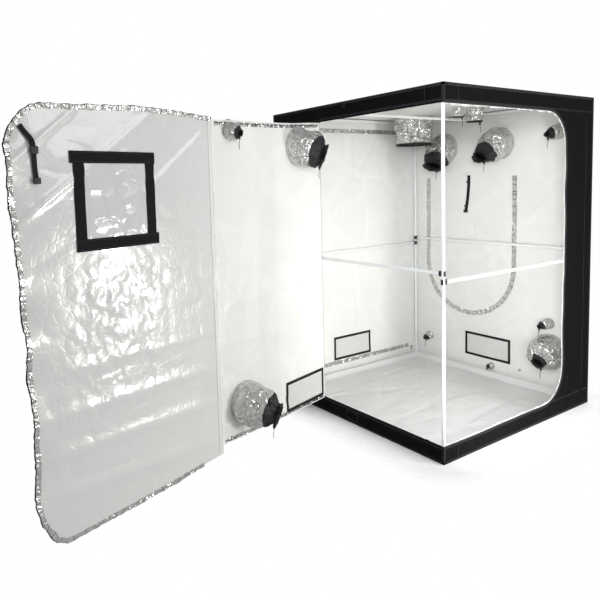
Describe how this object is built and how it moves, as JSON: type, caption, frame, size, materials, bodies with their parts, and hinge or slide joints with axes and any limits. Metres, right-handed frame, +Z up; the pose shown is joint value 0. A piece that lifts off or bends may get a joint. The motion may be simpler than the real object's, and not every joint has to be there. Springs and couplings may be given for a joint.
{
  "type": "indoor grow tent",
  "caption": "Square grow tent whose front left corner opens wide: tube frame, sewn black and white cover, swing-out side panel with folding window door, rear door, vents and gathered sleeves.",
  "frame": {"origin": "on the floor under the middle of the tent", "axes": "+Z up; the front, with the window door's doorway, faces -Y; the side panel's doorway faces -X"},
  "size_m": [3.521, 1.4838, 2.02],
  "materials": {
    "white_steel": "white powder coat",
    "black_plastic": "matt moulded",
    "black_cloth": "black woven outside, white film inside",
    "white_cloth": "glossy white film inside, black woven outside",
    "foil_cloth": "crinkled silver film with black hem",
    "net": "fine net in a black border",
    "clear_film": "clear film in a black woven border",
    "white_vinyl": "satin",
    "zinc": "plated"
  },
  "bodies": {
    "frame": {"back_wall": "black_cloth", "bottom_bar_back": "white_steel", "bottom_bar_front": "white_steel", "bottom_bar_left": "white_steel", "bottom_bar_right": "white_steel", "corner_joint_bottom_back_left": "white_steel", "corner_joint_bottom_back_right": "white_steel", "corner_joint_bottom_front_left": "white_steel", "corner_joint_bottom_front_right": "white_steel", "corner_joint_top_back_left": "white_steel", "corner_joint_top_back_right": "white_steel", "corner_joint_top_front_left": "white_steel", "corner_joint_top_front_right": "white_steel", "corner_pole_back_left": "white_steel", "corner_pole_back_right": "white_steel", "corner_pole_front_left": "white_steel", "corner_pole_front_right": "white_steel", "floor_sheet": "black_cloth", "front_surround": "black_cloth", "left_surround": "black_cloth", "right_sleeve_back": "foil_cloth", "right_sleeve_low": "foil_cloth", "right_sleeve_middle": "foil_cloth", "right_vent_net": "net", "right_wall": "black_cloth", "roof": "black_cloth", "roof_sleeve_duct": "foil_cloth", "roof_sleeve_fan": "foil_cloth", "top_bar_back": "white_steel", "top_bar_front": "white_steel", "top_bar_left": "white_steel", "top_bar_right": "white_steel"},
    "side_panel": {"side_panel": "white_cloth", "side_sleeve_upper": "foil_cloth", "side_sleeve_lower": "foil_cloth", "side_vent_net": "net"},
    "door_leaf": {"door_leaf": "white_cloth", "door_window": "clear_film"},
    "window_cover": {"window_cover": "black_cloth"},
    "side_vent_cover": {"side_vent_cover": "black_cloth"},
    "right_vent_cover": {"right_vent_cover": "black_cloth"},
    "rear_door": {"rear_door": "black_cloth", "rear_vent_net": "net"},
    "rear_vent_cover": {"rear_vent_cover": "black_cloth"},
    "hatch_flap": {"hatch_flap": "black_cloth"},
    "mid_bar_front": {"mid_bar_front": "white_steel", "mid_clip_front_left": "black_plastic", "mid_clip_front_right": "black_plastic"},
    "mid_bar_back": {"mid_bar_back": "white_steel", "mid_clip_back_left": "black_plastic", "mid_clip_back_right": "black_plastic"},
    "mid_bar_left": {"mid_bar_left": "white_steel", "mid_clip_left_back": "black_plastic", "mid_clip_left_front": "black_plastic"},
    "mid_bar_right": {"mid_bar_right": "white_steel", "mid_clip_right_back": "black_plastic", "mid_clip_right_front": "black_plastic"},
    "ceiling_bar": {"ceiling_bar": "white_steel"},
    "spill_tray": {"spill_tray": "white_vinyl"},
    "rear_zip_slider": {"rear_zip_slider": "zinc"}
  },
  "joints": [
    {"name": "side_panel_swing", "type": "hinge", "parent": "frame", "child": "side_panel", "pos_m": [-0.74115, 0.235, 1], "axis": [0, 0, -1], "range_deg": [-75, 15]},
    {"name": "door_leaf_fold", "type": "hinge", "parent": "side_panel", "child": "door_leaf", "pos_m": [-1.68311, -0.01818, 1], "axis": [0, 0, 1], "range_deg": [-15, 90]},
    {"name": "window_cover_flip", "type": "hinge", "parent": "door_leaf", "child": "window_cover", "pos_m": [-2.27775, -0.17476, 1.26665], "axis": [0.9659, 0.2588, 0], "range_deg": [0, 178]},
    {"name": "side_vent_flap", "type": "hinge", "parent": "side_panel", "child": "side_vent_cover", "pos_m": [-0.94931, 0.1812, 0.32], "axis": [0.9659, 0.2588, 0], "range_deg": [0, 150]},
    {"name": "right_vent_flap", "type": "hinge", "parent": "frame", "child": "right_vent_cover", "pos_m": [0.74115, 0.028, 0.32], "axis": [0, -1, 0], "range_deg": [0, 150]},
    {"name": "rear_door_swing", "type": "hinge", "parent": "frame", "child": "rear_door", "pos_m": [0.69, 0.74115, 1], "axis": [0, 0, -1], "range_deg": [0, 150]},
    {"name": "rear_vent_flap", "type": "hinge", "parent": "rear_door", "child": "rear_vent_cover", "pos_m": [-0.015, 0.74305, 0.32], "axis": [1, 0, 0], "range_deg": [0, 150]},
    {"name": "hatch_swing", "type": "hinge", "parent": "frame", "child": "hatch_flap", "pos_m": [0.74115, 0.2, 1.55], "axis": [0, -1, 0], "range_deg": [0, 150]},
    {"name": "ceiling_bar_slide", "type": "slide", "parent": "frame", "child": "ceiling_bar", "axis": [0, 1, 0], "range_m": [-0.12, 0.14]},
    {"name": "spill_tray_lift", "type": "slide", "parent": "frame", "child": "spill_tray", "axis": [0, 0, 1], "range_m": [0, 0.05]},
    {"name": "rear_zip_slide", "type": "slide", "parent": "frame", "child": "rear_zip_slider", "axis": [-1, 0, 0], "range_m": [0, 1.1]},
    {"name": "mid_bar_front_slide", "type": "slide", "parent": "frame", "child": "mid_bar_front", "axis": [0, 0, 1], "range_m": [-0.45, 0]},
    {"name": "mid_bar_back_slide", "type": "slide", "parent": "frame", "child": "mid_bar_back", "axis": [0, 0, 1], "range_m": [-0.45, 0]},
    {"name": "mid_bar_left_slide", "type": "slide", "parent": "frame", "child": "mid_bar_left", "axis": [0, 0, 1], "range_m": [0, 0.4]},
    {"name": "mid_bar_right_slide", "type": "slide", "parent": "frame", "child": "mid_bar_right", "axis": [0, 0, 1], "range_m": [0, 0.4]}
  ]
}
